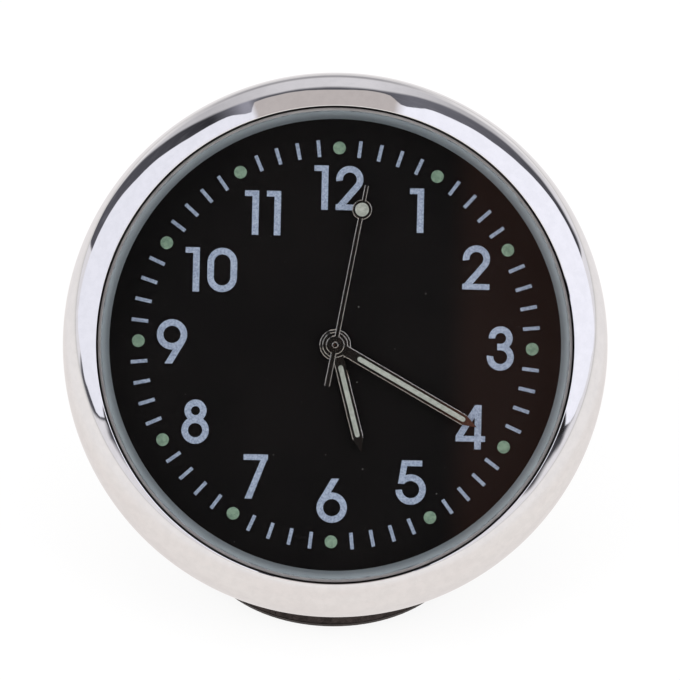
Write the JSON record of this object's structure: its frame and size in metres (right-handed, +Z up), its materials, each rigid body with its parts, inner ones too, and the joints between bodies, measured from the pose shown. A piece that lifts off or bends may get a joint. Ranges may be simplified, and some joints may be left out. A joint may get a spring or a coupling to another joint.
{
  "type": "car dashboard clock",
  "caption": "Ball-shaped chromed dashboard clock on a stick-on foam pad, with a pull-out quartz insert, numbered black dial and luminous hands.",
  "frame": {"origin": "middle of the adhesive face under the foam pad", "axes": "+Z up, away from the dashboard; the dial faces -Y and leans back 37 degrees; +X is to the right of the dial"},
  "size_m": [0.043, 0.036, 0.0381],
  "materials": {
    "chrome_shell": "bright chrome plating on the housing",
    "pad_foam": "black closed-cell foam",
    "pad_film": "dark acrylic adhesive film",
    "crystal_glass": "clear mineral glass",
    "ring_grey": "satin grey moulded ring",
    "dial_black": "satin black lacquer",
    "dial_print": "pale printed ink",
    "dot_lume": "pale green luminous paint",
    "hand_metal": "polished steel with bright bevels",
    "hand_lume": "off-white luminous paint",
    "case_black": "black moulded plastic",
    "back_steel": "circular brushed steel",
    "seal_rubber": "black rubber",
    "holder_plastic": "natural white plastic",
    "plate_metal": "nickel-plated brass",
    "steel_small": "bright steel",
    "coil_copper": "enamelled copper wire",
    "board_green": "green circuit laminate",
    "chip_black": "black moulded resin",
    "gear_brass": "polished brass",
    "magnet_dark": "sintered magnet"
  },
  "bodies": {
    "housing": {"rear_bowl": "chrome_shell", "front_bezel": "chrome_shell", "foam_pad": "pad_foam", "adhesive_film": "pad_film"},
    "insert": {"crystal": "crystal_glass", "reflector_ring": "ring_grey", "dial": "dial_black", "dial_numerals": "dial_print", "minute_marks": "dial_print", "lume_dots": "dot_lume", "insert_case": "case_black", "case_back": "back_steel", "back_gasket": "seal_rubber", "grip_ring": "seal_rubber", "movement_holder": "holder_plastic", "main_plate": "plate_metal", "train_bridge": "plate_metal", "movement_screws": "steel_small", "coil_core": "steel_small", "coil_winding": "coil_copper", "stator": "steel_small", "circuit_board": "board_green", "timing_chip": "chip_black", "quartz_can": "steel_small", "battery": "steel_small", "battery_clip": "gear_brass", "battery_contact": "gear_brass", "stem_tube": "gear_brass"},
    "seconds": {"second_hand": "hand_metal", "second_hand_lume": "hand_lume", "seconds_wheel": "gear_brass"},
    "minutes": {"minute_hand": "hand_metal", "minute_hand_lume": "hand_lume", "centre_wheel": "gear_brass"},
    "hours": {"hour_hand": "hand_metal", "hour_hand_lume": "hand_lume", "hour_wheel": "gear_brass"},
    "third": {"third_wheel": "gear_brass"},
    "step": {"step_wheel": "gear_brass"},
    "rotor": {"rotor_magnet": "magnet_dark", "rotor_pinion": "holder_plastic"},
    "minute_work": {"minute_wheel": "gear_brass"},
    "setting": {"setting_wheel": "gear_brass"},
    "stem_slide": {"setting_lever": "steel_small"},
    "crown_stem": {"stem": "steel_small", "clutch_pinion": "gear_brass", "crown": "steel_small"}
  },
  "joints": [
    {"name": "insert_pull", "type": "slide", "parent": "housing", "child": "insert", "axis": [0, -0.7986, 0.6018], "range_m": [0, 0.025]},
    {"name": "second_hand_turn", "type": "hinge", "parent": "insert", "child": "seconds", "pos_m": [0, 0.00043, 0.01984], "axis": [0, 0.7986, -0.6018], "continuous": true},
    {"name": "minute_hand_turn", "type": "hinge", "parent": "insert", "child": "minutes", "pos_m": [0, 0.00043, 0.01984], "axis": [0, 0.7986, -0.6018], "continuous": true},
    {"name": "hour_hand_turn", "type": "hinge", "parent": "insert", "child": "hours", "pos_m": [0, 0.00043, 0.01984], "axis": [0, 0.7986, -0.6018], "continuous": true},
    {"name": "third_wheel_turn", "type": "hinge", "parent": "insert", "child": "third", "pos_m": [-0.00053, 0.00472, 0.02038], "axis": [0, 0.7986, -0.6018], "continuous": true},
    {"name": "step_wheel_turn", "type": "hinge", "parent": "insert", "child": "step", "pos_m": [-0.0015, 0.00134, 0.0159], "axis": [0, 0.7986, -0.6018], "continuous": true},
    {"name": "rotor_turn", "type": "hinge", "parent": "insert", "child": "rotor", "pos_m": [-0.00368, 0.00058, 0.01489], "axis": [0, 0.7986, -0.6018], "continuous": true},
    {"name": "minute_wheel_turn", "type": "hinge", "parent": "insert", "child": "minute_work", "pos_m": [0.0024, 0.00115, 0.0193], "axis": [0, 0.7986, -0.6018], "continuous": true},
    {"name": "setting_wheel_turn", "type": "hinge", "parent": "insert", "child": "setting", "pos_m": [0.0051, 0.00115, 0.0193], "axis": [0, 0.7986, -0.6018], "continuous": true},
    {"name": "crown_pull", "type": "slide", "parent": "insert", "child": "stem_slide", "axis": [1, 0, 0], "range_m": [0, 0.001]},
    {"name": "crown_turn", "type": "hinge", "parent": "stem_slide", "child": "crown_stem", "pos_m": [0.01, 0.00195, 0.0187], "axis": [1, 0, 0], "continuous": true}
  ],
  "couplings": [
    {"joint": "third_wheel_turn", "follows": "second_hand_turn", "ratio": -0.125},
    {"joint": "minute_hand_turn", "follows": "second_hand_turn", "ratio": 0.016667},
    {"joint": "hour_hand_turn", "follows": "second_hand_turn", "ratio": 0.0013889},
    {"joint": "step_wheel_turn", "follows": "second_hand_turn", "ratio": -5},
    {"joint": "rotor_turn", "follows": "second_hand_turn", "ratio": 30},
    {"joint": "minute_wheel_turn", "follows": "second_hand_turn", "ratio": -0.0055556},
    {"joint": "setting_wheel_turn", "follows": "second_hand_turn", "ratio": 0.011111}
  ]
}
